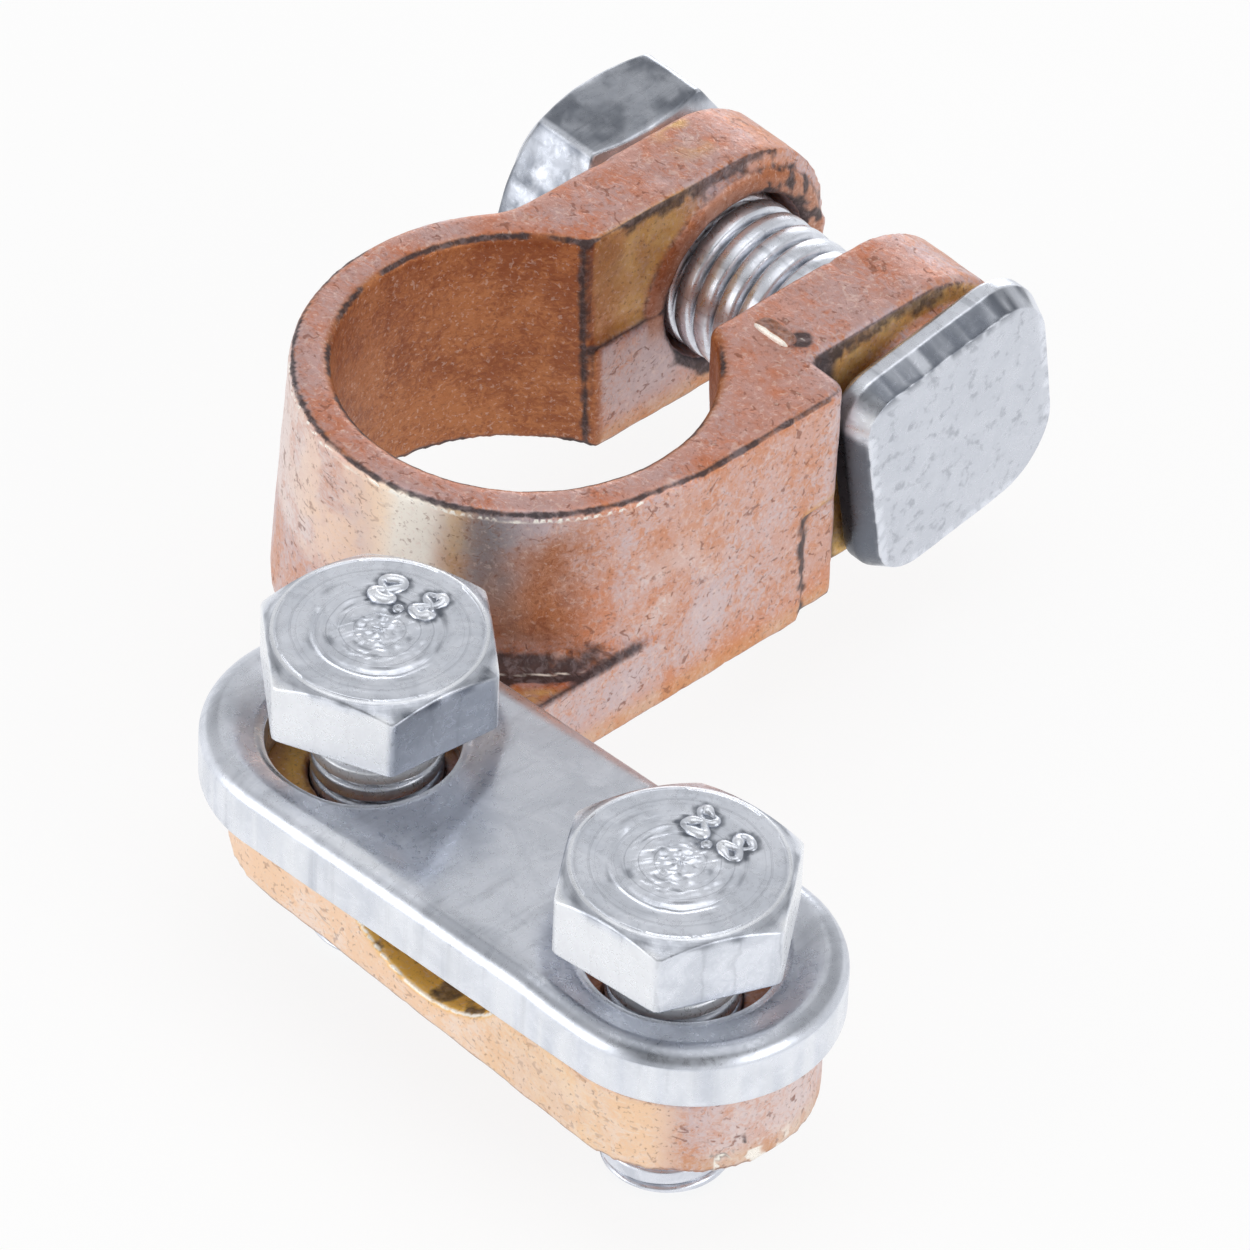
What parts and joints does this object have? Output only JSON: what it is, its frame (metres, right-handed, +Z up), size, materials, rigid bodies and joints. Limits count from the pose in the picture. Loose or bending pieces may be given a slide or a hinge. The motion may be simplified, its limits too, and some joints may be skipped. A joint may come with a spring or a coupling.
{
  "type": "battery terminal clamp",
  "caption": "Battery post clamp: a split ring drawn tight by a bolt across its ears, with a side saddle and screwed plate that grip the bared cable end.",
  "frame": {"origin": "on the axis of the battery post bore, in the plane of the casting's underside", "axes": "+Z up along the post bore, +X along the clamp bolt towards its square head, +Y from the post towards the ears"},
  "size_m": [0.0515, 0.0487, 0.0181],
  "materials": {
    "copper_plated_casting": "copper plated, tarnished, with dark oxide in corners",
    "zinc_plated_steel": "zinc plated, satin, worn at corners"
  },
  "bodies": {
    "terminal_body": {"terminal_body": "copper_plated_casting"},
    "clamp_bolt": {"clamp_bolt": "zinc_plated_steel"},
    "clamp_nut": {"clamp_nut": "zinc_plated_steel"},
    "cable_clamp_plate": {"cable_clamp_plate": "zinc_plated_steel"},
    "left_cable_screw": {"left_cable_screw": "zinc_plated_steel"},
    "right_cable_screw": {"right_cable_screw": "zinc_plated_steel"}
  },
  "joints": [
    {"name": "nut_turn", "type": "hinge", "parent": "terminal_body", "child": "clamp_nut", "pos_m": [-0.0116, 0.0171, 0.00585], "axis": [-1, 0, 0], "range_deg": [0, 1153]},
    {"name": "bolt_draw", "type": "slide", "parent": "terminal_body", "child": "clamp_bolt", "axis": [1, 0, 0], "range_m": [0, 0.004]},
    {"name": "plate_lift", "type": "slide", "parent": "terminal_body", "child": "cable_clamp_plate", "axis": [0, 0, 1], "range_m": [0, 0.006]},
    {"name": "left_screw_turn", "type": "hinge", "parent": "cable_clamp_plate", "child": "left_cable_screw", "pos_m": [0.00916, -0.01705, 0.009], "axis": [0, 0, 1], "range_deg": [0, 2161]},
    {"name": "right_screw_turn", "type": "hinge", "parent": "cable_clamp_plate", "child": "right_cable_screw", "pos_m": [0.02836, -0.01705, 0.009], "axis": [0, 0, 1], "range_deg": [0, 2161]}
  ],
  "couplings": [
    {"joint": "nut_turn", "follows": "bolt_draw", "rad_per_m": 5026.5},
    {"joint": "left_screw_turn", "follows": "plate_lift", "rad_per_m": 6283.2},
    {"joint": "right_screw_turn", "follows": "plate_lift", "rad_per_m": 6283.2}
  ]
}
